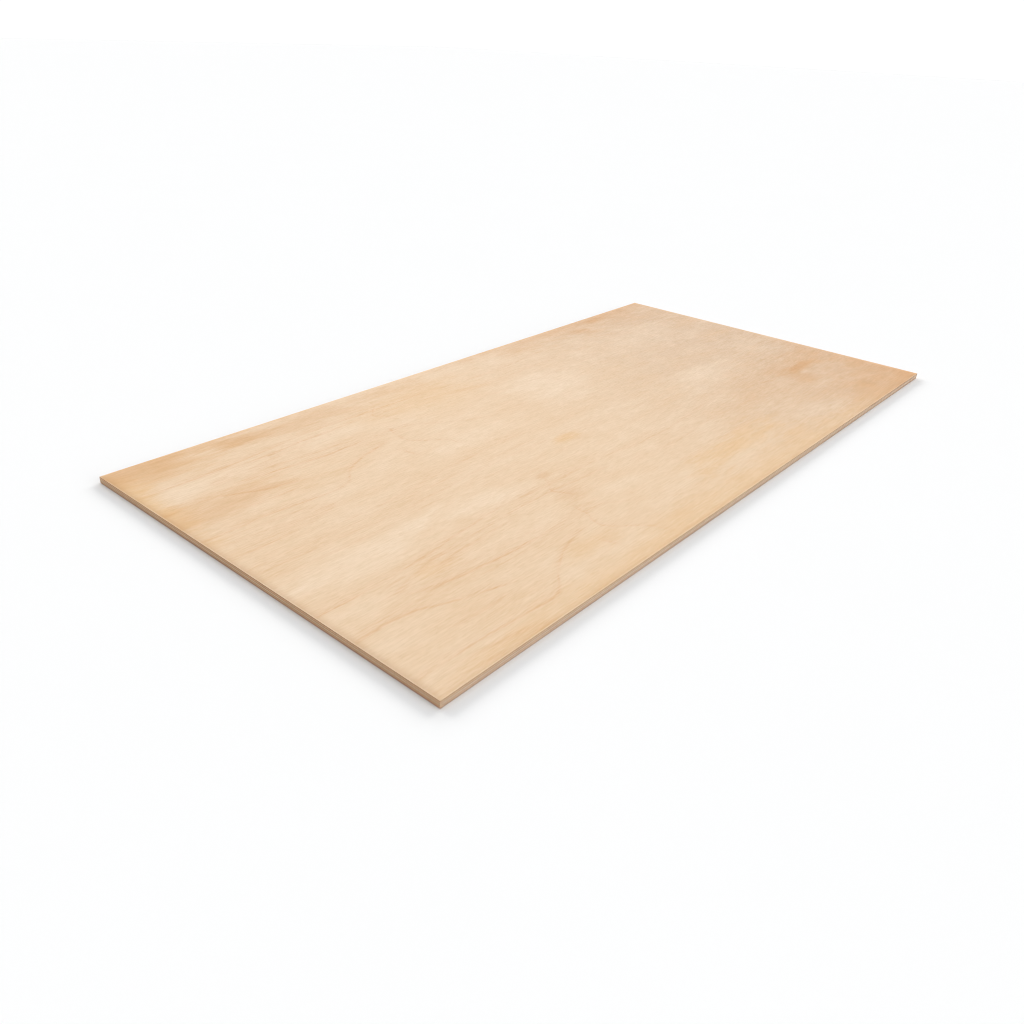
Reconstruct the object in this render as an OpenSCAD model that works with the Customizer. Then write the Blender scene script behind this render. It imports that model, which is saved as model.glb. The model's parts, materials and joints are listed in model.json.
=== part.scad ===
// Sheet of plywood: nine veneers peeled from logs and glued face to face, each
// with its grain across that of the ply below. Thin finishing veneers cover the
// face and the back, and seven equal, thicker plies lie between them.
//
// Millimetres. The origin is the centre of the underside. +X runs along the
// length, the way the face's grain runs, +Y runs across the width, and +Z is up.
// All nine veneers are pressed as one and then sawn to size together, so they
// share one outline and each lies flat on the next, with no gap at the glue line.

/* [Sheet] */
// Length of the sheet, along the grain of the face
sheet_length = 2440; // [600:1:3050]
// Width of the sheet, across the grain of the face
sheet_width = 1220; // [300:1:1830]
// Thickness of the whole sheet, sanded
sheet_thickness = 18; // [9:0.5:30]

/* [Veneers] */
// Thickness of the face veneer once it is sanded
face_veneer_thickness = 0.6; // [0.3:0.1:1.5]
// Thickness of the back veneer once it is sanded
back_veneer_thickness = 0.6; // [0.3:0.1:1.5]

/* [Hidden] */
// The nodes from the underside up, in the order that the veneers are laid
NODES = [
    "back_veneer",
    "crossband_1", "long_ply_1",
    "crossband_2", "centre_ply",
    "crossband_3", "long_ply_2",
    "crossband_4",
    "face_veneer"
];

// The inner plies share what the face and the back leave of the thickness
finishing_veneers = 2;
inner_plies = len(NODES) - finishing_veneers;
inner_total = sheet_thickness - face_veneer_thickness - back_veneer_thickness;
ply_thickness = inner_total / inner_plies;

// Places of the inner plies in the stack, where 1 lies on the back veneer
first_crossband = 1;
centre_place = (inner_plies + 1) / 2;
// A crossband and the long-grain ply on it make one step up the stack
repeat = 2;

back_colour = [0.84, 0.71, 0.55];
crossband_colour = [0.69, 0.54, 0.41];
long_ply_colour = [0.88, 0.75, 0.64];
centre_colour = [0.93, 0.84, 0.74];
face_colour = [0.91, 0.80, 0.69];

// One flat veneer of the sheet's outline, with its underside at the given height
module veneer(height, thickness) {
    translate([-sheet_length / 2, -sheet_width / 2, height])
        cube([sheet_length, sheet_width, thickness]);
}

// Height of the underside of the inner ply at a place in the stack
function ply_height(place) = back_veneer_thickness + (place - 1) * ply_thickness;

// Thin finishing veneer on the underside, grain along the length
module back_veneer() {
    color(back_colour) veneer(0, back_veneer_thickness);
}

// Inner ply with its grain across the width, number 1 being the lowest
module crossband(number) {
    place = first_crossband + (number - 1) * repeat;
    color(crossband_colour) veneer(ply_height(place), ply_thickness);
}

// Inner ply with its grain along the length, number 1 being below the centre
// and number 2 above it
module long_ply(number) {
    steps = number == 1 ? -1 : 1;
    place = centre_place + steps * repeat;
    color(long_ply_colour) veneer(ply_height(place), ply_thickness);
}

// Middle ply of the sheet, the palest, grain along the length
module centre_ply() {
    color(centre_colour) veneer(ply_height(centre_place), ply_thickness);
}

// Thin finishing veneer on the best side, grain along the length
module face_veneer() {
    top = sheet_thickness - face_veneer_thickness;
    color(face_colour) veneer(top, face_veneer_thickness);
}

back_veneer();
crossband(1);  // crossband_1
long_ply(1);  // long_ply_1
crossband(2);  // crossband_2
centre_ply();
crossband(3);  // crossband_3
long_ply(2);  // long_ply_2
crossband(4);  // crossband_4
face_veneer();
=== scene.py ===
# %% [markdown]
# # A sheet of plywood
# Plywood is made of thin sheets of wood called veneers. A log is turned against a long
# knife and unrolled like paper, the veneers are glued with the grain of each one across
# the next, and the pressed stack is sawn to size. This lesson cuts the nine veneers of
# one sheet as separate pieces, gives each its finish, and lights the sheet on a pale floor.

# %% Load the frame
import json
import math

import bpy
from mathutils import Matrix, Vector


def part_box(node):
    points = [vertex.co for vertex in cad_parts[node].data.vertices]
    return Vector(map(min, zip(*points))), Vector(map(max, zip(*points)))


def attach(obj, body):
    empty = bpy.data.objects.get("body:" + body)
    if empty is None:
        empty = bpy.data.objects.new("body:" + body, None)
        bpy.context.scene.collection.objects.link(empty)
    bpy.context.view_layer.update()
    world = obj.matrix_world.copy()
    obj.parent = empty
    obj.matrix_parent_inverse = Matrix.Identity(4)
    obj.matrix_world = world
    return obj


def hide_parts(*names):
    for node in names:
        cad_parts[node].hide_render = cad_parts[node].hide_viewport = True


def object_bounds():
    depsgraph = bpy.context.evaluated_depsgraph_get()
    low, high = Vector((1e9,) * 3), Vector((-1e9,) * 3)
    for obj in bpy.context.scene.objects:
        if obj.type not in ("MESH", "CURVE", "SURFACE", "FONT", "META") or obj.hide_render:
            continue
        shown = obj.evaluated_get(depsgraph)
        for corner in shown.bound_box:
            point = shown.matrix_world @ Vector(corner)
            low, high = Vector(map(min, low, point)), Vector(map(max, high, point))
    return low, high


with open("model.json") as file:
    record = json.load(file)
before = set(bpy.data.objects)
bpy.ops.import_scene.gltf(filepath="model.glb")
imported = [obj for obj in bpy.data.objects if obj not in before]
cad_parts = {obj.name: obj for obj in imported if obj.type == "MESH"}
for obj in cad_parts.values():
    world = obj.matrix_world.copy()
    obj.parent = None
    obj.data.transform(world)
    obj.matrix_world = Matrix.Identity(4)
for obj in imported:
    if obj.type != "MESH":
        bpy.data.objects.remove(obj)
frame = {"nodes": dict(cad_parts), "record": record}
cad_bounds = [list(corner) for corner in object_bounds()]
print("the sheet's box in metres:", cad_bounds)

# %% [markdown]
# ## Sizes
# Every size comes from the frame, so the pieces fit the construction with no measuring
# by eye. The sheet's origin is the centre of its underside: +X runs along the length and
# the grain of the face, +Y across the width, and +Z up.

# %% Read the sizes
LOW, HIGH = (Vector(corner) for corner in cad_bounds)
LENGTH, WIDTH, THICKNESS = HIGH - LOW
MM = 0.001

# The veneers from the underside up, as they are laid in the press
VENEERS = sorted(frame["nodes"], key=lambda node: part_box(node)[0][2])
SLOTS = {row["node"]: row["material_slot"] for row in frame["record"]["subparts"]}
print(f"the sheet is {LENGTH:.2f} by {WIDTH:.2f} m and {THICKNESS / MM:.0f} mm thick")
print(f"{len(VENEERS)} veneers:", ", ".join(VENEERS))

# %% [markdown]
# ## Camera
# The sheet is seen from one corner, at about the height of a standing desk, so both near
# edges show their plies. A camera is turned with `to_track_quat`, which points its -Z
# axis at a target, and a small roll is added about its own axis. The lens is shifted a
# little, which moves the sheet sideways in the frame without turning the camera.

# %% Place the camera
CAMERA_PLACE = Vector((-2.061, -1.438, 1.052))
CAMERA_TARGET = Vector((-0.637, -0.226, 0.018))
CAMERA_ROLL = math.radians(2.41)
CAMERA_LENS = 30.72
CAMERA_SHIFT = 0.0146

bpy.ops.object.select_all(action="DESELECT")
bpy.ops.object.camera_add(location=CAMERA_PLACE)
camera = bpy.context.active_object
camera.name = "camera"
facing = (CAMERA_TARGET - CAMERA_PLACE).to_track_quat("-Z", "Y").to_matrix()
camera.rotation_euler = (facing @ Matrix.Rotation(CAMERA_ROLL, 3, "Z")).to_euler()
camera.data.lens = CAMERA_LENS
camera.data.shift_x = CAMERA_SHIFT
bpy.context.scene.camera = camera
print("camera stands", round((CAMERA_TARGET - CAMERA_PLACE).length, 2), "m from what it looks at")

# %% [markdown]
# ## Maths on surfaces
# A procedural finish is a graph of small nodes. Written by hand, each sum takes three
# lines, so a small class wraps a node's output and lets Python's own operators add the
# Math nodes. An expression such as `1 - ring * 0.5` then reads as what it is.


# %% Wrap an output of a node
class Term:
    """An output of a finish's graph, which takes part in arithmetic."""

    def __init__(self, finish, socket):
        self.finish = finish
        self.socket = socket

    def __add__(self, other):
        return self.finish.math("ADD", self, other)

    def __sub__(self, other):
        return self.finish.math("SUBTRACT", self, other)

    def __rsub__(self, other):
        return self.finish.math("SUBTRACT", other, self)

    def __mul__(self, other):
        return self.finish.math("MULTIPLY", self, other)

    def __truediv__(self, other):
        return self.finish.math("DIVIDE", self, other)

    def __pow__(self, power):
        return self.finish.math("POWER", self, power)

    def __abs__(self):
        return self.finish.math("ABSOLUTE", self)

    __radd__ = __add__
    __rmul__ = __mul__


print("operators on a term:", ", ".join(name for name in vars(Term) if name.endswith("__")))

# %% [markdown]
# A second class holds one material and adds its nodes. Its method `node` takes any type of
# node with its settings and inputs, and the others are short names for the nodes that wood
# needs most: noise for clouds, a smooth fade from one value to another, a curve drawn
# through points, and ways to lay one colour over another.


# %% Write a finish as expressions
def set_up(node, name, value):
    """Gives a node one of its settings; the points of a curve are a setting too."""
    if name != "points":
        setattr(node, name, value)
        return
    line = node.mapping.curves[0].points
    line[0].location = value[0]
    line[-1].location = value[-1]
    for point in value[1:-1]:
        line.new(*point)
    node.mapping.update()


class Finish:
    """A material whose graph is written as expressions."""

    def __init__(self, name):
        self.material = bpy.data.materials.new(name)
        self.material.use_nodes = True
        self.tree = self.material.node_tree
        self.shader = self.tree.nodes["Principled BSDF"]
        self.place = self.node("ShaderNodeTexCoord", output="Object")
        self.along, self.across, self.up = self.parts(self.place)
        normal = Term(self, self.place.socket.node.outputs["Normal"])
        self.faces_along, self.faces_across = map(abs, self.parts(normal)[:2])

    def feed(self, socket, value):
        """Links a term to a socket, or sets a plain value on it."""
        if isinstance(value, Term):
            self.tree.links.new(value.socket, socket)
        else:
            socket.default_value = value

    def node(self, kind, settings=None, inputs=None, output=0):
        """Adds any node: its settings first, then the values and links of its sockets."""
        made = self.tree.nodes.new(kind)
        for name, value in (settings or {}).items():
            set_up(made, name, value)
        for name, value in (inputs or {}).items():
            self.feed(made.inputs[name], value)
        return Term(self, made.outputs[output])

    def math(self, operation, *values):
        return self.node("ShaderNodeMath", {"operation": operation}, dict(enumerate(values)))

    def vector(self, operation, *values, output=0):
        inputs = dict(enumerate(values))
        return self.node("ShaderNodeVectorMath", {"operation": operation}, inputs, output)

    def parts(self, vector):
        """The three numbers of a vector."""
        split = self.node("ShaderNodeSeparateXYZ", inputs={0: vector}).socket.node
        return [Term(self, socket) for socket in split.outputs]

    def stretched(self, along, across, up=1.0, shift=0.0):
        """The place measured in waves of these lengths along, across and up the sheet."""
        inputs = {"Vector": self.place, "Location": (shift, shift, shift)}
        inputs["Scale"] = (1 / along, 1 / across, 1 / up)
        return self.node("ShaderNodeMapping", inputs=inputs)

    def noise(self, vector, detail=2.0, roughness=0.5, output=0):
        """Smooth random cloud between 0 and 1, one lump to each unit of the vector."""
        inputs = {"Vector": vector, "Scale": 1.0, "Detail": detail, "Roughness": roughness}
        return self.node("ShaderNodeTexNoise", inputs=inputs, output=output)

    def fade(self, value, start, end, low=0.0, high=1.0):
        """Goes smoothly from low to high while the value goes from start to end."""
        settings = {"interpolation_type": "SMOOTHSTEP"}
        inputs = {"Value": value, "From Min": start, "From Max": end}
        inputs |= {"To Min": low, "To Max": high}
        return self.node("ShaderNodeMapRange", settings, inputs)

    def curve(self, value, points):
        """Reads a curve that is drawn through points, at a value between 0 and 1."""
        return self.node("ShaderNodeFloatCurve", {"points": points}, {"Value": value})

    def blend(self, factor, first, second, mode="MIX"):
        """Mixes two colours by a factor."""
        settings = {"data_type": "RGBA", "blend_type": mode}
        return self.node("ShaderNodeMix", settings, {0: factor, 6: first, 7: second}, 2)

    def tint(self, colour, brightness):
        """A colour made lighter or darker, where 1 leaves it as it is."""
        settings = {"operation": "SCALE"}
        return self.node("ShaderNodeVectorMath", settings, {0: colour, "Scale": brightness})

    def bump(self, height, distance):
        """A normal that tilts as the height changes, where 1 stands distance metres high."""
        inputs = {"Height": height, "Distance": distance, "Strength": 1.0}
        return self.node("ShaderNodeBump", inputs=inputs)

    def wear(self, piece, base_color, roughness, normal, specular=0.5):
        """Feeds the shader and puts the material on a piece."""
        self.feed(self.shader.inputs["Base Color"], base_color)
        self.feed(self.shader.inputs["Roughness"], roughness)
        self.feed(self.shader.inputs["Normal"], normal)
        self.shader.inputs["Specular IOR Level"].default_value = specular
        piece.data.materials.clear()
        piece.data.materials.append(self.material)


print("a finish can make:", ", ".join(name for name in vars(Finish) if name[0] != "_"))

# %% [markdown]
# Colours are picked on a screen as numbers from 0 to 255, which follow the eye. A shader
# adds up light, so each number is first turned into an amount of light.


# %% Turn picked colours into light
def paint(red, green, blue):
    """A colour picked on a screen, 0 to 255, as the linear light a shader works in."""

    def linear(level):
        level /= 255
        return level / 12.92 if level <= 0.04045 else ((level + 0.055) / 1.055) ** 2.4

    return (linear(red), linear(green), linear(blue), 1.0)


print("a mid grey of 128 is", round(paint(128, 128, 128)[0], 3), "in linear light")

# %% [markdown]
# ## Cutting a veneer
# A veneer on its own is a slab, yet a plain box would give dead straight lines along the
# sheet's edges. Real glue lines waver, because wet veneer swells and thins from place to
# place. So the slab gets cells of about 40 mm on its faces and of 5 mm along its border,
# where the saw shows them, and the border's height is cut into rows for the glue lines.
# `subdivide` on parallel edges works as a loop cut does in the window.

# %% Pick parts of a mesh
FACE_CELL = 0.040
CELLS_LONG = round(LENGTH / FACE_CELL)
CELLS_WIDE = round(WIDTH / FACE_CELL)
BORDER = 0.020
BORDER_CUTS = 7
EDGE_ROWS = 6
NEAR = 1e-5


def pick(piece, kind, wanted):
    """Selects the edges or faces of a piece for which wanted(...) holds, in edit mode."""
    bpy.ops.object.mode_set(mode="EDIT")
    bpy.ops.mesh.select_mode(type=kind)
    bpy.ops.mesh.select_all(action="DESELECT")
    bpy.ops.object.mode_set(mode="OBJECT")
    mesh = piece.data
    places = [vertex.co for vertex in mesh.vertices]
    for part in mesh.edges if kind == "EDGE" else mesh.polygons:
        part.select = wanted([places[i] for i in part.vertices])
    bpy.ops.object.mode_set(mode="EDIT")


def runs(axis):
    """A test for edges that run along an axis."""
    return lambda ends: abs(abs((ends[1] - ends[0]).normalized()[axis]) - 1) < NEAR


def level(corners):
    """True for a part that lies flat."""
    return max(c.z for c in corners) - min(c.z for c in corners) < NEAR


def at_border(point):
    """Whether a point is on the outline of the sheet, on an end or on a side."""
    return abs(abs(point.x) - HIGH.x) < NEAR, abs(abs(point.y) - HIGH.y) < NEAR


def on_rim(ends):
    """True for a flat-lying edge on the outline of the slab."""
    same_end = all(at_border(point)[0] for point in ends)
    same_side = all(at_border(point)[1] for point in ends)
    return level(ends) and (same_end or same_side)


print("cells on a face:", CELLS_LONG, "by", CELLS_WIDE)

# %% [markdown]
# The sheet's own face and back are sanded, and sanding eases their sharp rims a little.
# The rim is bevelled before the edge is cut into rows, so the rows end at the bevel.

# %% Cut one slab
ARRIS = 0.22 * MM


def cut_slab(name, low, high, eased):
    """A slab between two corners, with cells on its faces and fine rows round its edge."""
    bpy.ops.object.select_all(action="DESELECT")
    bpy.ops.mesh.primitive_cube_add(size=1, location=(low + high) / 2, scale=high - low)
    slab = bpy.context.active_object
    slab.name = slab.data.name = name
    bpy.ops.object.transform_apply(location=True, rotation=True, scale=True)
    for axis, cells in ((0, CELLS_LONG), (1, CELLS_WIDE)):
        pick(slab, "EDGE", runs(axis))
        bpy.ops.mesh.subdivide(number_cuts=cells - 1)
    pick(slab, "FACE", level)
    bpy.ops.mesh.inset(thickness=BORDER)
    pick(slab, "EDGE", on_rim)
    bpy.ops.mesh.subdivide(number_cuts=BORDER_CUTS)
    pick(slab, "EDGE", lambda ends: on_rim(ends) and abs(ends[0].z - eased) < NEAR)
    if any(edge.select for edge in slab.data.edges):
        bpy.ops.mesh.bevel(offset=ARRIS, segments=2, affect="EDGES")
    pick(slab, "EDGE", runs(2))
    bpy.ops.mesh.subdivide(number_cuts=EDGE_ROWS - 1)
    bpy.ops.object.mode_set(mode="OBJECT")
    return slab


slabs = {}
for node in VENEERS:
    low, high = map(Vector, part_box(node))
    eased = high.z if high.z == HIGH.z else low.z if low.z == LOW.z else math.inf
    slabs[node] = cut_slab(node + "_sawn", low, high, eased)
print("faces in one slab:", len(slabs["centre_ply"].data.polygons))

# %% [markdown]
# ## Marking the glue lines
# The edge needs dark glue lines later on. Each point remembers how far it was from the
# nearest glue line before the slab is bent, as an attribute called `seam`, in
# millimetres. A material can read it, so its dark lines follow every wave of the mesh.

# %% Mark the glue lines
for node in VENEERS:
    low, high = map(Vector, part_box(node))
    glued = [height for height in (low.z, high.z) if LOW.z + NEAR < height < HIGH.z - NEAR]
    mesh = slabs[node].data
    seam = mesh.attributes.new("seam", "FLOAT", "POINT")
    for vertex, mark in zip(mesh.vertices, seam.data):
        mark.value = min(abs(vertex.co.z - height) for height in glued) / MM
print("points marked on one slab:", len(seam.data))

# %% [markdown]
# ## The sawn edge
# A saw leaves soft wood a little lower than the glue lines. The rows between the glue
# lines are scaled towards the middle of the sheet by a few hundredths of a millimetre,
# more on the crossbands, whose fibres tear out where the saw meets them end on.

# %% Sink the wood between the glue lines
CROSSBAND_RECESS = 0.07 * MM
LONG_PLY_RECESS = 0.03 * MM

for node in VENEERS:
    low, high = map(Vector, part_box(node))
    row = (high.z - low.z) / EDGE_ROWS
    recess = CROSSBAND_RECESS if node.startswith("crossband") else LONG_PLY_RECESS
    scale = (1 - recess / HIGH.x, 1 - recess / HIGH.y, 1)
    bpy.context.view_layer.objects.active = slabs[node]

    def between(corners):
        heights = [corner.z for corner in corners]
        inside = low.z + row / 2 < min(heights) and max(heights) < high.z - row / 2
        return inside and all(any(at_border(corner)) for corner in corners)

    pick(slabs[node], "FACE", between)
    bpy.ops.transform.resize(value=scale, center_override=(0, 0, 0))
    bpy.ops.object.mode_set(mode="OBJECT")
print("crossbands sink by", CROSSBAND_RECESS / MM, "mm between their glue lines")

# %% [markdown]
# ## Wavy glue lines
# Two veneers share each glue line, so both have to follow the same wave or they would
# overlap or gape. A Displace modifier reads a cloud texture by place: the ply below moves
# its top with a texture, and the ply above moves its underside with the same one. First
# come three helpers: one makes a cloud, one gives points their weights and one pushes.


# %% Make a cloud that pushes a slab
def cloud(name, size, depth=1):
    """A cloud texture for the Displace modifier, with lumps of the size given in metres."""
    made = bpy.data.textures.new(name, "CLOUDS")
    made.noise_scale = size
    made.noise_depth = depth
    return made


def push(slab, texture, group, direction, strength):
    """Moves a vertex group of a slab along an axis by a cloud texture, and keeps the result."""
    wave = slab.modifiers.new("wave", "DISPLACE")
    wave.texture = texture
    wave.vertex_group = group
    wave.direction = direction
    wave.strength = strength
    bpy.context.view_layer.objects.active = slab
    bpy.ops.object.modifier_apply(modifier=wave.name)


def weigh(slab, group, weight):
    """Adds a vertex group in which each point has the weight that weight(point) gives."""
    made = slab.vertex_groups.new(name=group)
    for vertex in slab.data.vertices:
        made.add([vertex.index], weight(vertex.co), "REPLACE")


print("points to move on one slab:", len(slabs["centre_ply"].data.vertices))

# %% [markdown]
# A vertex group fades the wave to nothing at the slab's other face, and the sheet's own
# face and back stay flat, because they are sanded. Two more groups mark the ends and the
# sides of the slab, for the saw.

# %% Wave the glue lines
GLUE_WAVE = 0.32 * MM
FIRST_WAVELENGTH = 0.09
WAVELENGTH_STEP = 0.017

glue_lines = [
    cloud(f"glue line {number}", FIRST_WAVELENGTH + WAVELENGTH_STEP * number)
    for number in range(len(VENEERS) - 1)
]
for number, node in enumerate(VENEERS):
    low, high = map(Vector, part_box(node))
    rise = high.z - low.z
    slab = slabs[node]
    weigh(slab, "top", lambda point: (point.z - low.z) / rise)
    weigh(slab, "underside", lambda point: (high.z - point.z) / rise)
    weigh(slab, "ends", lambda point: float(abs(point.x) > HIGH.x - 2 * CROSSBAND_RECESS))
    weigh(slab, "sides", lambda point: float(abs(point.y) > HIGH.y - 2 * CROSSBAND_RECESS))
    if number > 0:
        push(slab, glue_lines[number - 1], "underside", "Z", GLUE_WAVE)
    if number < len(glue_lines):
        push(slab, glue_lines[number], "top", "Z", GLUE_WAVE)
print("glue lines waved:", len(glue_lines), "by up to", GLUE_WAVE / 2 / MM, "mm each way")

# %% [markdown]
# The saw itself leaves the edge a little rough. All nine slabs read one fine cloud by
# place, so the veneers stay flush with one another where they meet.

# %% Roughen the sawn edge
SAW_MARKS = 0.08 * MM
SMOOTH_BELOW = math.radians(30)
saw_texture = cloud("saw marks", 7 * MM, depth=2)

for slab in slabs.values():
    push(slab, saw_texture, "ends", "X", SAW_MARKS)
    push(slab, saw_texture, "sides", "Y", SAW_MARKS)
    bpy.ops.object.select_all(action="DESELECT")
    slab.select_set(True)
    bpy.ops.object.shade_smooth_by_angle(angle=SMOOTH_BELOW)
print("the saw marks are", SAW_MARKS / MM, "mm deep")

# %% [markdown]
# ## Unfolding the slabs
# A finish made of nodes lives only in Blender. For use elsewhere it has to be baked into an
# image, and a UV map says which face lies where on that image. Left to itself, an unwrap
# gives nearly the whole image to the broad faces between two veneers, which nobody sees,
# and next to nothing to an edge of 2 mm. So the slab is unfolded by hand: its edges are
# cut into strips of sixteen cells, laid one above another, and the broad faces get bands
# of their own.

# %% Lay out the map of a slab
STRIP_CELLS = 16
# Strips along one side, which faces along axis 1, and along one end, which faces along 0
STRIPS = {1: -(-CELLS_LONG // STRIP_CELLS), 0: -(-CELLS_WIDE // STRIP_CELLS)}
ALL_STRIPS = 2 * (STRIPS[0] + STRIPS[1])
STRIP_GAP = 0.08
FACE_GAP = 0.01
END_GAP = 0.002
MAP_NAME = "OFBake"

# The height of the map that goes to the top, the underside and the strips
SHARES = {"face_veneer": (0.75, 0.05, 0.20), "back_veneer": (0.05, 0.75, 0.20)}
HIDDEN_SHARES = (0.05, 0.05, 0.90)


def inside(value, gap):
    """Keeps a value off the very ends of the range from 0 to 1, for a gap between bands."""
    return gap + (1 - 2 * gap) * value


def place_on_map(point, face, bottom, rise, shares):
    """Where a corner of a face lies on the map of its slab."""
    top_share, underside_share, strip_share = shares
    along = (point.x - LOW.x) / LENGTH
    across = (point.y - LOW.y) / WIDTH
    if abs(face.normal.z) > 0.5:
        start, share = (0, top_share) if face.normal.z > 0 else (top_share, underside_share)
        return along, start + share * inside(across, FACE_GAP)
    on_side = abs(face.normal.y) > abs(face.normal.x)
    axis = 1 if on_side else 0
    cells = CELLS_LONG if on_side else CELLS_WIDE
    middle = (face.center.x - LOW.x) / LENGTH if on_side else (face.center.y - LOW.y) / WIDTH
    strip = int(middle * cells) // STRIP_CELLS
    first = (0 if face.normal[axis] > 0 else STRIPS[axis]) + (0 if on_side else 2 * STRIPS[1])
    run = (along if on_side else across) * cells / STRIP_CELLS - strip
    row = (first + strip + inside((point.z - bottom) / rise, STRIP_GAP)) / ALL_STRIPS
    return inside(run, END_GAP), top_share + underside_share + strip_share * row


print("strips on each map:", ALL_STRIPS)

# %% [markdown]
# Every corner of every face gets its place on the map. The map has a name of its own, so
# the export knows that it was made on purpose.

# %% Unfold the slabs
for node, slab in slabs.items():
    shares = SHARES.get(node, HIDDEN_SHARES)
    mesh = slab.data
    heights = [vertex.co.z for vertex in mesh.vertices]
    bottom, rise = min(heights), max(heights) - min(heights)
    uv_map = mesh.uv_layers.new(name=MAP_NAME)
    for face in mesh.polygons:
        for loop in face.loop_indices:
            point = mesh.vertices[mesh.loops[loop].vertex_index].co
            uv_map.data[loop].uv = place_on_map(point, face, bottom, rise, shares)
print("slabs unfolded:", len(slabs))

# %% [markdown]
# ## What all veneer has in common
# Wood is a bundle of fibres, so every mark on it is long with the grain and narrow across
# it. A noise texture is a round cloud; stretched ten to twenty times along the grain it
# becomes fibres. Three sizes of it together look like wood at any distance: broad bands,
# threads of about four millimetres, and hairs of less than two.


# %% Make fibres and pores
# Nearly all values of the streaks lie between these two
FIBRE_SPAN = (0.3, 0.7)
# Only the highest strokes of the cloud are open pores
PORE_SPAN = (0.62, 0.74)


def fibres(finish, shift):
    """Streaks along the sheet, between 0 and 1."""
    bands = finish.noise(finish.stretched(0.18, 0.014, shift=shift))
    threads = finish.noise(finish.stretched(0.050, 0.0040, shift=shift + 7))
    hairs = finish.noise(finish.stretched(0.018, 0.0016, shift=shift + 13), detail=1)
    return bands * 0.16 + threads * 0.44 + hairs * 0.40


def pores(finish, shift):
    """Short dark strokes where the knife has opened the tubes of the wood."""
    strokes = finish.noise(finish.stretched(0.014, 0.0007, shift=shift + 29), detail=1)
    return finish.fade(strokes, *PORE_SPAN)


print("the fibres lie mostly between", *FIBRE_SPAN)

# %% [markdown]
# ## The figure of the face
# A log is a stack of cones, one for each year, and the knife peels it from the outside
# in. Where the log bulges the knife cuts across many years, and where it is straight it
# stays within one, so the late wood of each year shows as a thin line that wanders and
# closes in long loops. After one turn of the log nearly the same lines come round again.
#
# So the lines are drawn once, on the width of one turn, and the place across
# the sheet is wrapped to that width. Each line is a smooth curve through a few points:
# the distance along the sheet, then the place across one turn, both in metres.

# %% Draw the lines of one turn
# How wide one turn of the log is, and where the first one starts, below the near side
TURN = 0.69
TURN_LOW = -0.24

# How dark each line is, then its points
LINES_WITH_THE_GRAIN = [
    (1.00, (0.00, 0.313), (0.15, 0.315), (0.30, 0.306), (0.40, 0.304), (0.44, 0.320),
     (0.48, 0.358), (0.53, 0.390), (0.58, 0.412), (0.66, 0.430)),
    (1.10, (0.00, 0.473), (0.15, 0.475), (0.20, 0.455), (0.26, 0.428), (0.31, 0.418),
     (0.37, 0.403)),
    (0.70, (0.17, 0.381), (0.25, 0.376), (0.33, 0.378)),
    (0.95, (0.00, 0.595), (0.30, 0.605), (0.47, 0.627), (0.64, 0.637), (0.78, 0.632),
     (1.00, 0.634)),
    (0.55, (0.16, 0.570), (0.30, 0.588), (0.37, 0.583), (0.47, 0.596), (0.76, 0.603),
     (0.90, 0.593), (1.00, 0.585)),
    (0.60, (0.24, 0.502), (0.37, 0.492), (0.47, 0.481), (0.72, 0.483), (0.80, 0.472)),
    (0.45, (0.00, 0.498), (0.20, 0.490), (0.30, 0.472), (0.50, 0.464), (0.72, 0.470)),
    (0.40, (0.76, 0.502), (0.80, 0.480), (0.86, 0.440), (0.93, 0.390), (1.00, 0.360)),
    (0.45, (0.00, 0.116), (0.30, 0.110), (0.55, 0.112), (0.70, 0.126), (1.00, 0.122)),
    (0.35, (0.00, 0.142), (0.30, 0.140), (0.55, 0.148), (1.00, 0.150)),
    (0.50, (0.30, 0.164), (0.50, 0.168), (0.60, 0.182), (0.70, 0.193), (1.00, 0.208)),
    (0.30, (0.00, 0.080), (0.30, 0.074), (0.60, 0.085), (0.85, 0.080)),
]
# Fainter ones, whose distance along the sheet starts past its middle
FAR_START = 1.05
LINES_FARTHER_ALONG = [
    (0.45, (0.00, 0.630), (0.20, 0.612), (0.45, 0.626), (0.60, 0.640)),
    (0.35, (0.02, 0.566), (0.25, 0.548), (0.50, 0.556), (0.75, 0.548)),
    (0.30, (0.10, 0.470), (0.35, 0.462), (0.62, 0.474)),
    (0.60, (0.86, 0.602), (0.92, 0.586), (0.97, 0.570), (1.00, 0.562)),
    (0.30, (0.55, 0.300), (0.80, 0.290), (1.00, 0.310)),
]
LINES_ACROSS_THE_GRAIN = [
    (0.80, (0.290, 0.812), (0.320, 0.795), (0.340, 0.772), (0.374, 0.738), (0.395, 0.720),
     (0.420, 0.714), (0.445, 0.720), (0.475, 0.732), (0.510, 0.742)),
    (0.75, (0.305, 0.674), (0.340, 0.662), (0.375, 0.656)),
    (0.75, (0.540, 0.800), (0.570, 0.785), (0.603, 0.770), (0.630, 0.790), (0.660, 0.812),
     (0.680, 0.820)),
]
# Loops: how dark, the centre, half the length and half the width, and which end is closed
LOOPS = [
    (0.60, (0.00, 0.250), (0.315, 0.047), 1),
    (0.35, (0.00, 0.246), (0.200, 0.024), 1),
    (0.60, (0.62, 0.540), (0.435, 0.062), -1),
    (0.55, (0.62, 0.545), (0.320, 0.036), -1),
]
ALL_LINES = LINES_WITH_THE_GRAIN + LINES_FARTHER_ALONG + LINES_ACROSS_THE_GRAIN + LOOPS
print("lines on each turn:", len(ALL_LINES))

# %% [markdown]
# Late wood starts softly and stops suddenly, because a tree slows down over the summer
# and then rests. So a line is sharp on one side and fades over some centimetres on the
# other. `away` is the distance from the line. Two fades multiplied give one such shape,
# and a narrow dark one over a wide faint one looks grown, where a single one looks drawn.


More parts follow.
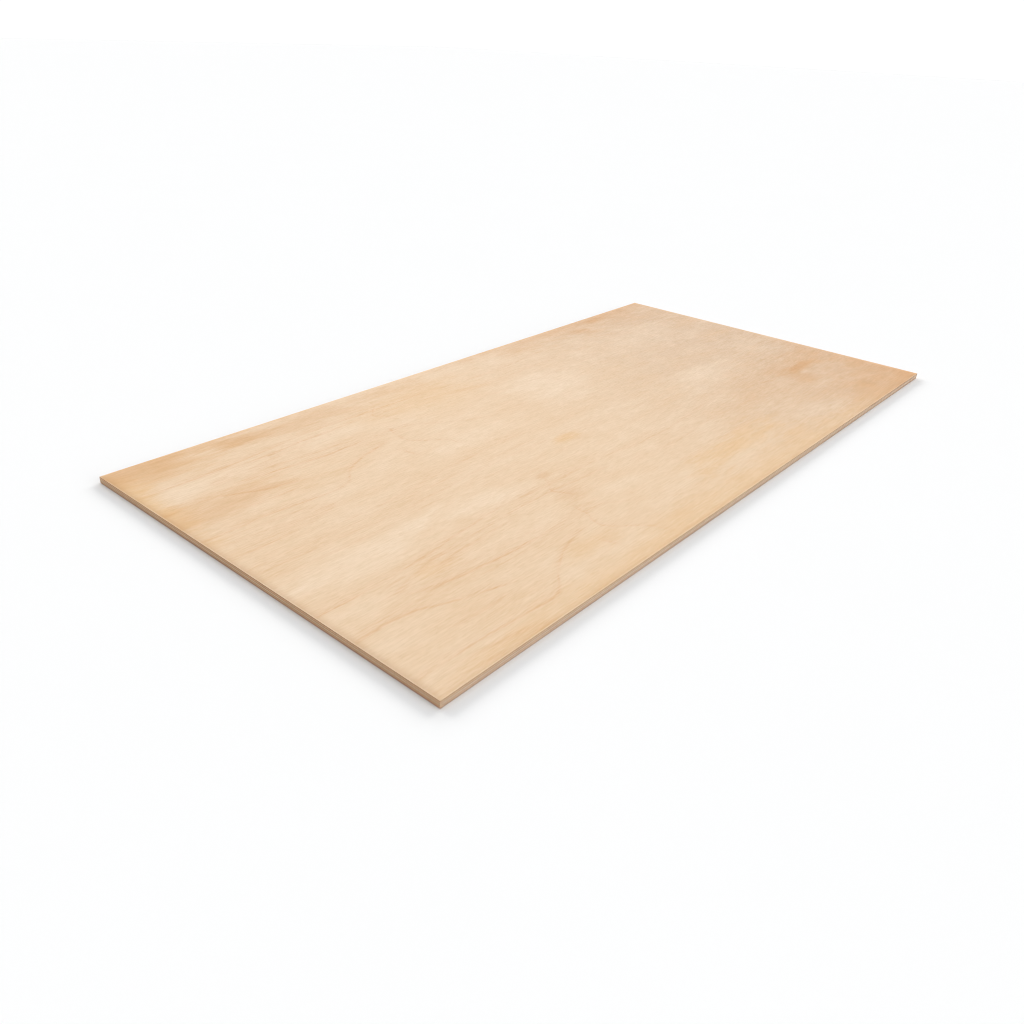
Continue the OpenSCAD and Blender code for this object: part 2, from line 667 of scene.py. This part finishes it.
# %% Turn points into lines
# How wide a line is on its sharp side and on its soft side, and how dark
CORE = (0.003, 0.009)
CORE_DARK = 0.60
GLOW = (0.010, 0.032)
GLOW_DARK = 0.40
LINE_END = 0.03


def late_wood(finish, away):
    """The darkness of a line, from the distance to it."""
    core = finish.fade(away, -CORE[0], 0) * finish.fade(away, CORE[1], 0)
    glow = finish.fade(away, -GLOW[0], 0) * finish.fade(away, GLOW[1], 0)
    return core * CORE_DARK + glow * GLOW_DARK


def drawn_line(finish, run, rise, points):
    """A line that runs along one axis and follows its points on the other."""
    start, end = points[0][0], points[-1][0]
    line = late_wood(finish, rise - finish.curve(run, points))
    begun = finish.fade(run, start - LINE_END, start + LINE_END)
    return line * begun * finish.fade(run, end + LINE_END, end - LINE_END)


def loop_line(finish, run, rise, centre, half, closed):
    """One half of a long oval, open at its other end."""
    along = (run - centre[0]) / half[0]
    across = (rise - centre[1]) / half[1]
    ring = (along * along + across * across) ** 0.5
    line = late_wood(finish, (1 - ring) * half[1])
    return line * finish.fade(along * closed, -0.1, 0.25)


print("a line is", sum(GLOW) / MM, "mm wide in all")

# %% [markdown]
# Besides its lines the face has broad soft patches: pale ones between the loops, brown
# ones where the heart of the log came near, and golden ones towards the sides. The largest
# brown ones, at the far end, are partly the wood's tone and partly painted shade. All are
# ovals given in metres from the near corner, which is at the low end of both axes.

# %% Place the patches
# How strong, the centre, then half the length and half the width
PALE = [
    (0.85, (0.22, 0.455), (0.24, 0.075)),
    (0.75, (0.58, 0.455), (0.20, 0.070)),
    (0.45, (0.20, 1.010), (0.18, 0.050)),
    (0.45, (0.52, 1.025), (0.24, 0.055)),
    (0.35, (0.50, 0.290), (0.18, 0.040)),
    (0.40, (0.82, 0.740), (0.14, 0.080)),
    (0.60, (1.42, 0.850), (0.26, 0.150)),
    (0.55, (1.84, 0.510), (0.34, 0.110)),
    (0.50, (2.02, 0.930), (0.36, 0.120)),
    (0.35, (2.26, 0.560), (0.13, 0.080)),
    (0.40, (1.38, 1.165), (0.12, 0.040)),
    (0.35, (1.20, 0.480), (0.14, 0.060)),
    (0.45, (0.88, 0.270), (0.10, 0.040)),
]
BROWN = [
    (0.50, (0.06, 0.860), (0.32, 0.085)),
    (0.15, (0.24, 0.865), (0.12, 0.045)),
    (1.00, (0.04, 1.180), (0.42, 0.090)),
    (0.75, (1.95, 1.220), (0.90, 0.120)),
    (0.40, (2.44, 0.330), (0.12, 0.500)),
    (0.45, (2.25, 0.380), (0.28, 0.090)),
    (0.45, (0.62, 1.150), (0.50, 0.070)),
    (0.60, (1.93, 1.130), (0.07, 0.045)),
    (0.50, (2.08, 1.175), (0.08, 0.030)),
    (0.85, (2.16, 0.330), (0.13, 0.040)),
    (0.50, (2.10, 0.280), (0.07, 0.050)),
    # The next three darken the far end and its corners: partly brown wood, partly painted shade
    (1.40, (2.46, 0.000), (0.56, 0.260)),
    (0.40, (2.10, 0.300), (0.60, 0.260)),
    (0.30, (2.44, 1.200), (0.60, 0.300)),
    (0.45, (0.82, 0.430), (0.03, 0.020)),
    (0.35, (0.79, 0.330), (0.06, 0.050)),
]
GOLD = [
    (0.70, (1.37, 0.160), (0.30, 0.070)),
    (0.40, (0.29, 0.320), (0.07, 0.035)),
    (0.15, (0.26, 0.870), (0.34, 0.100)),
    (0.40, (0.95, 1.050), (0.30, 0.140)),
    (0.35, (0.60, 0.130), (0.12, 0.050)),
    (0.50, (1.20, 0.000), (1.60, 0.100)),
    (0.80, (0.00, 0.980), (0.08, 0.300)),
    (0.65, (1.06, 0.543), (0.07, 0.028)),
    (0.60, (0.10, 1.170), (0.36, 0.080)),
]
print("patches:", len(PALE), "pale,", len(BROWN), "brown and", len(GOLD), "golden")

# %% [markdown]
# The distance from an oval's centre, measured in its half lengths, is 1 on its border. A
# ragged cloud is added to that distance, so no border is a true oval.

# %% Add up the patches
# How far a cloud may move a border, in metres
FRAY_REACH = 0.07
# A patch starts this far from its centre and is full this near, in half lengths
OVAL_EDGE = (1.2, 0.1)


def patches(finish, place, ragged, rows):
    """The sum of soft ovals over a place, with borders frayed by a cloud."""
    total = 0.0
    for strength, centre, half in rows:
        scale = (1 / half[0], 1 / half[1], 0)
        shift = (-centre[0] / half[0], -centre[1] / half[1], 0)
        oval = finish.vector("MULTIPLY_ADD", place, scale, shift)
        from_centre = finish.vector("LENGTH", oval, output="Value")
        fray = min(1.0, FRAY_REACH / min(half))
        frayed = finish.math("MULTIPLY_ADD", ragged, fray, from_centre)
        total = finish.fade(frayed, *OVAL_EDGE) * strength + total
    return total


print("a border strays by up to", FRAY_REACH / MM, "mm")

# %% [markdown]
# ## The face veneer
# First come the places. The distance along and across the sheet sways a little, as grown
# wood does, and the place across is wrapped to the width of one turn. Then all the lines
# are added up into one value, which is 0 on plain wood and about 1 on the darkest line.

# %% Find the places and add up the lines
# How far the figure sways along and across the sheet, and how far its lines shiver
WANDER = (0.050, 0.014, 0.0)
JITTER = 0.012

face = Finish("face veneer")
corner = face.vector("SUBTRACT", face.place, (LOW.x, LOW.y, 0))
sway = face.noise(face.stretched(0.35, 0.12), detail=3, output="Color")
half_wander = tuple(-step / 2 for step in WANDER)
swayed = face.vector("ADD", face.vector("MULTIPLY_ADD", sway, WANDER, half_wander), corner)
run, rise, _ = face.parts(swayed)
jitter = face.noise(face.stretched(0.130, 0.040, shift=21), detail=3)
turned = face.math("WRAP", rise + jitter * JITTER - TURN_LOW, TURN, 0)

lines = 0.0
for strength, *points in LINES_WITH_THE_GRAIN:
    lines = drawn_line(face, run, turned, points) * strength + lines
for strength, *points in LINES_FARTHER_ALONG:
    lines = drawn_line(face, run - FAR_START, turned, points) * strength + lines
for strength, *points in LINES_ACROSS_THE_GRAIN:
    lines = drawn_line(face, turned, run, points) * strength + lines
for strength, centre, half, closed in LOOPS:
    lines = loop_line(face, run, turned, centre, half, closed) * strength + lines
print("nodes in the face so far:", len(face.tree.nodes))

# %% [markdown]
# The clouds come next, each with its own lengths along and across the grain. They are
# made before any colour is laid, because several layers share them. The far half of the
# sheet also has a ripple that is wider across the grain than along it.

# %% Make the clouds of the face
# The far half begins at the first distance and has its full effect by the second
FAR_SPAN = (0.9, 2.5)

clouds = face.noise(face.stretched(0.26, 0.085, shift=3), detail=3, roughness=0.55)
small_clouds = face.noise(face.stretched(0.10, 0.030, shift=5), detail=3, roughness=0.6)
towards_far = face.fade(run, *FAR_SPAN)
far_ripple = face.noise(face.stretched(0.070, 0.110, shift=44), detail=5, roughness=0.68)
streaks = fibres(face, 1)
specks = pores(face, 1)
print("nodes in the face so far:", len(face.tree.nodes))

# %% [markdown]
# The colours are laid one over another, as a painter would: the ground, its clouds, the
# patches, the lines, the pores and the fibres. Each layer is a Mix node, and its share is
# how much of the new colour shows where the layer is strongest. The lines are broken up
# by a cloud and by the fibres, so none of them looks drawn with a pen.

# %% Lay the colours of the face
GROUND = paint(232, 203, 170)
FAR_GROUND_AND_SHADE = paint(217, 187, 157)
CLOUD_PALE, PALE_SHARE = paint(238, 215, 188), 0.36
CLOUD_DARK, DARK_SHARE = paint(225, 188, 147), 0.34
PATCH_GOLD, GOLD_SHARE = paint(228, 186, 132), 0.8
PATCH_BROWN, BROWN_SHARE = paint(211, 161, 110), 0.6
PATCH_PALE, PALE_PATCH_SHARE = paint(242, 221, 196), 0.45
LINE_BROWN, LINE_SHARE = paint(210, 144, 78), 0.36
PORE_BROWN, PORE_SHARE = paint(170, 128, 90), 0.25
FIBRE_DARK = (0.885, 0.865, 0.805, 1.0)
FIBRE_PALE = (1.008, 1.018, 1.060, 1.0)
FAR_DEPTH = 0.45
FAR_RIPPLE = 0.22
RAGGEDNESS = 2.2

# The ground turns darker towards the far end: partly the wood's own tone, partly painted shade
colour = face.blend(towards_far, GROUND, FAR_GROUND_AND_SHADE)
mottle = clouds * 0.65 + small_clouds * 0.35
pale_clouds = face.fade(mottle, 0.46, 0.70, high=PALE_SHARE)
dark_clouds = face.fade(mottle, 0.54, 0.30, high=DARK_SHARE)
colour = face.blend(pale_clouds, colour, CLOUD_PALE)
colour = face.blend(dark_clouds, colour, CLOUD_DARK)
ragged = (mottle - 0.5) * RAGGEDNESS
colour = face.blend(patches(face, swayed, ragged, GOLD) * GOLD_SHARE, colour, PATCH_GOLD)
colour = face.blend(patches(face, swayed, ragged, BROWN) * BROWN_SHARE, colour, PATCH_BROWN)
pale_patches = patches(face, swayed, 0 - ragged, PALE)
colour = face.blend(pale_patches * PALE_PATCH_SHARE, colour, PATCH_PALE)
breaks = face.noise(face.stretched(0.150, 0.030, shift=17), detail=2)
broken = face.fade(breaks, 0.34, 0.60, low=0.35) * face.fade(streaks, 0.60, 0.36, low=0.45)
colour = face.blend(lines * broken * LINE_SHARE, colour, LINE_BROWN)
colour = face.blend(specks * PORE_SHARE, colour, PORE_BROWN)
fibre_share = (face.fade(streaks, *FIBRE_SPAN) - 0.5) * (towards_far * FAR_DEPTH + 1) + 0.5
fibre_tone = face.blend(fibre_share, FIBRE_DARK, FIBRE_PALE)
colour = face.blend(1.0, colour, fibre_tone, "MULTIPLY")
colour = face.tint(colour, (far_ripple - 0.5) * towards_far * FAR_RIPPLE + 1)
print("nodes in the face so far:", len(face.tree.nodes))

# %% [markdown]
# Last come the rim and the surface. The sander warms the rim a little. A thin pale line
# on the arris, the eased corner between face and edge, is partly sanded wood and partly a
# painted highlight. The pores are duller than the wood between them, and the bump stays
# under a tenth of a millimetre, because the face is sanded.

# %% Warm the rim and finish the face
RIM_GOLD, RIM_SHARE = paint(208, 152, 92), 0.20
# How far in from the edge the rim begins, and where it is at its fullest
END_RIM, END_WAVER = (0.045, 0.012), 0.03
SIDE_RIM, SIDE_WAVER = (0.030, 0.004), 0.01
RIM_FALL = 1.5
SIDE_RIM_SHARE = 0.7
ARRIS_PALE_AND_HIGHLIGHT, ARRIS_SHARE = paint(250, 228, 196), 0.7
ARRIS_WIDTH = 0.0045
FACE_RELIEF = 0.05 * MM
DULL = 0.2

from_end = face.math("MINIMUM", face.along - LOW.x, HIGH.x - face.along)
from_side = face.math("MINIMUM", face.across - LOW.y, HIGH.y - face.across)
end_grain = face.noise(face.stretched(0.40, 0.008, shift=33), detail=3)
end_rim = face.fade(from_end + end_grain * END_WAVER, *END_RIM) ** RIM_FALL
side_rim = face.fade(from_side + small_clouds * SIDE_WAVER, *SIDE_RIM) ** RIM_FALL
rim = face.math("MAXIMUM", end_rim, side_rim * SIDE_RIM_SHARE)
colour = face.blend(rim * RIM_SHARE, colour, RIM_GOLD)
arris = face.fade(face.math("MINIMUM", from_end, from_side), ARRIS_WIDTH, 0.0)
# A thin pale line along the arris: partly sanded wood, partly a painted highlight
colour = face.blend(arris * broken * ARRIS_SHARE, colour, ARRIS_PALE_AND_HIGHLIGHT)
height = streaks * 0.8 - specks * 0.5
roughness = face.fade(streaks, *FIBRE_SPAN, low=0.74, high=0.66) + specks * 0.15
face.wear(slabs["face_veneer"], colour, roughness, face.bump(height, FACE_RELIEF), DULL)
print("nodes in the face:", len(face.tree.nodes))

# %% [markdown]
# ## The back veneer
# The back is peeled like the face, from plainer wood. Nobody chooses it for looks, so it
# needs no drawing: a slow cloud stands for the shape of the log, and wherever it passes a
# whole number a year ends. `FRACT` of it rises slowly and drops at once, which is the
# same soft and sharp side as before.

# %% Finish the back
BACK_GROUND = paint(222, 188, 150)
BACK_DARK = paint(208, 172, 132)
BACK_LINE, BACK_SHARE = paint(178, 132, 90), 0.35
BACK_YEARS = 9
LOG_TAPER = 3
LATE_SHARPNESS = 5
BACK_RELIEF = 0.09 * MM

back = Finish("back veneer")
log_shape = back.noise(back.stretched(1.5, 0.22, shift=40), detail=1)
years = log_shape * BACK_YEARS + back.across * LOG_TAPER
late = back.math("FRACT", years) ** LATE_SHARPNESS
back_clouds = back.noise(back.stretched(0.3, 0.09, shift=11), detail=3)
back_streaks = fibres(back, 50)
back_pores = pores(back, 50)
colour = back.blend(back.fade(back_clouds, 0.35, 0.65), BACK_GROUND, BACK_DARK)
colour = back.blend(late * BACK_SHARE, colour, BACK_LINE)
colour = back.blend(back_pores * BACK_SHARE, colour, PORE_BROWN)
colour = back.tint(colour, back.fade(back_streaks, *FIBRE_SPAN, low=0.93, high=1.05))
height = back_streaks * 0.8 - back_pores * 0.6
roughness = back_pores * 0.15 + 0.68
back.wear(slabs["back_veneer"], colour, roughness, back.bump(height, BACK_RELIEF), DULL)
print("nodes in the back:", len(back.tree.nodes))

# %% [markdown]
# ## The inner plies
# Round the edge every other ply is cut along its grain and the ones between across it.
# Side grain shows streaks and end grain shows the cut ends of the tubes as fine dots. One
# solid noise, stretched only along the ply's own grain, gives both by itself: streaks
# where the saw ran with it and dots where the saw ran through it. The tone of the end
# grain is set for each kind of ply. The short edges are redder than the long ones, which
# is painted warm light that no lamp gives them. A colour above 1 would give back more
# light than it gets, so MINIMUM stops it there.

# %% Finish one kind of ply
GLUE, GLUE_SHARE = paint(112, 80, 54), 0.7
# Millimetres from a glue line at which its colour begins, and at which it is full
GLUE_LINE = (0.26, 0.04)
SHORT_EDGE_WARM_LIGHT = (1.22, 0.98, 0.84, 1.0)
PUREST_WHITE = (1.0, 1.0, 1.0)
EDGE_RELIEF = 0.12 * MM
# The saw's marks: how far apart, how much they slant and how much they waver
SAW_TOOTH, SAW_SLANT, SAW_WAVER = 0.0031, 0.3, 0.012


def finish_ply(slot, light, dark, fibre, ring, end_tone):
    """The finish of the plies of one slot, with its grain along the longest wave."""
    ply = Finish(slot.replace("_", " "))
    tubes = ply.noise(ply.stretched(*fibre, shift=60), detail=2, roughness=0.6)
    layers = ply.noise(ply.stretched(*ring, shift=70), detail=2)
    tones = ply.noise(ply.stretched(0.7, 0.7, 0.003, shift=80), detail=1)
    shade = ply.fade(tubes * 0.5 + layers * 0.3 + tones * 0.2, 0.34, 0.66)
    colour = ply.blend(shade, dark, light)
    end_facing = ply.faces_along if fibre[0] > fibre[1] else ply.faces_across
    colour = ply.tint(colour, ply.fade(end_facing, 0.3, 0.7, low=1.0, high=end_tone))
    # Painted warm light: every ply is redder on the faces of the short edges, which no lamp warms
    colour = ply.blend(ply.faces_along, colour, SHORT_EDGE_WARM_LIGHT, "MULTIPLY")
    colour = ply.vector("MINIMUM", colour, PUREST_WHITE)
    seam = ply.node("ShaderNodeAttribute", {"attribute_name": "seam"}, output="Fac")
    colour = ply.blend(ply.fade(seam, *GLUE_LINE) * GLUE_SHARE, colour, GLUE)
    run = ply.across * ply.faces_along + ply.along * ply.faces_across
    marks = run + ply.up * SAW_SLANT + tones * SAW_WAVER
    teeth = ply.math("SINE", marks * (2 * math.pi / SAW_TOOTH))
    height = tubes * 0.7 + layers * 0.4 + teeth * 0.04
    roughness = ply.fade(tubes, 0.35, 0.65, low=0.85, high=0.7)
    for node in VENEERS:
        if SLOTS[node] == slot:
            ply.wear(slabs[node], colour, roughness, ply.bump(height, EDGE_RELIEF), DULL)
    print(slot, "has", len(ply.tree.nodes), "nodes")


print("the saw leaves a mark every", SAW_TOOTH / MM, "mm")

# %% [markdown]
# There are three kinds of inner ply: the dark crossbands, the pale long plies between
# them, and the centre ply, which is the palest.

# %% Finish the inner plies
# The lengths along, across and up of one fibre, then of one growth ring
ALONG = (0.050, 0.0007, 0.0006), (0.50, 0.020, 0.0009)
ACROSS = (0.0007, 0.050, 0.0006), (0.020, 0.50, 0.0009)
finish_ply("crossband", paint(176, 132, 99), paint(136, 97, 70), *ACROSS, 0.82)
finish_ply("long_ply", paint(250, 226, 198), paint(230, 198, 168), *ALONG, 1.04)
finish_ply("centre_ply", paint(255, 240, 217), paint(249, 229, 203), *ALONG, 1.06)

# %% [markdown]
# ## Putting the pieces in the frame
# Every slab stands for the node of the same veneer, which is hidden, and rides on the
# sheet's one body.

# %% Put the pieces in the frame
for node, slab in slabs.items():
    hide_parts(node)
    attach(slab, "root")
print("pieces placed:", len(slabs))

# %% [markdown]
# ## The floor
# The sheet lies on a plain pale floor that runs out of sight, so nothing is seen but the
# sheet and its own shadow. The floor's grey varies too little to notice and its bump has
# no height, so it looks smooth.

# %% Lay the floor
FLOOR_SIZE = 80
FLOOR_GREY = (0.918, 0.922)
FLOOR_ROUGHNESS = 0.9
bpy.ops.object.select_all(action="DESELECT")
bpy.ops.mesh.primitive_plane_add(size=FLOOR_SIZE, location=(0, 0, LOW.z))
floor = bpy.context.active_object
floor.name = "floor"
studio = Finish("floor")
floor_grain = studio.noise(studio.stretched(0.5, 0.5))
floor_colour = studio.fade(floor_grain, 0.0, 1.0, *FLOOR_GREY)
studio.wear(floor, floor_colour, FLOOR_ROUGHNESS, studio.bump(floor_grain, 0.0), 0.0)
print("the floor is", FLOOR_SIZE, "m wide")

# %% [markdown]
# ## Light
# A white studio lights a sheet from every side, and its shadow is only a soft darkening
# along the near edges. A far softbox is a sun lamp with a wide disc: its light comes from
# one part of the sky, however large the sheet. Five of them stand round it.

# %% Set up five softboxes
LAMP_DISTANCE = 5


def softbox(name, towards, elevation, disc, strength, colour):
    """A far softbox: its compass direction, its height and its width, in degrees."""
    around, above = math.radians(towards), math.radians(elevation)
    flat = math.cos(above)
    back = Vector((math.cos(around) * flat, math.sin(around) * flat, math.sin(above)))
    bpy.ops.object.light_add(type="SUN", location=back * LAMP_DISTANCE)
    lamp = bpy.context.active_object
    lamp.name = name
    lamp.rotation_euler = back.to_track_quat("Z", "Y").to_euler()
    lamp.data.angle = math.radians(disc)
    lamp.data.energy = strength
    lamp.data.color = colour
    print(name, "stands", elevation, "degrees high")


WARM = (1.029, 0.995, 0.966)

softbox("overhead", 20, 75, 50, 0.20, WARM)
softbox("behind the far end", 5, 24, 24, 1.29, WARM)
softbox("behind the far corner", 45, 20, 22, 1.00, WARM)
softbox("behind the far side", 85, 24, 24, 1.29, WARM)
softbox("right", -75, 20, 40, 1.22, WARM)

# %% [markdown]
# Between the softboxes the sky is an even white, a little cool against their warm light.
# The camera sees it more than twice as bright as it shines, so the empty background is
# as white as the lit floor.

# %% Hang the white sky
SKY_COOL = (0.90, 0.955, 1.0)
SKY_STRENGTH = 0.468
SKY_LIGHT = tuple(SKY_STRENGTH * part for part in SKY_COOL) + (1.0,)
SKY_SEEN = (1.06, 1.06, 1.06, 1.0)
CRISPNESS = 1.1
world = bpy.data.worlds.new("studio")
bpy.context.scene.world = world
world.use_nodes = True
sky = world.node_tree.nodes["Background"]
path = world.node_tree.nodes.new("ShaderNodeLightPath")
look = world.node_tree.nodes.new("ShaderNodeMix")
look.data_type = "RGBA"
look.inputs["A"].default_value = SKY_LIGHT
look.inputs["B"].default_value = SKY_SEEN
world.node_tree.links.new(path.outputs["Is Camera Ray"], look.inputs["Factor"])
world.node_tree.links.new(look.outputs["Result"], sky.inputs["Color"])
bpy.context.scene.view_settings.view_transform = "Standard"
bpy.context.scene.cycles.filter_width = CRISPNESS
print("the sky shines with a strength of", SKY_STRENGTH)

# %% [markdown]

# %% [markdown]
# ## The end
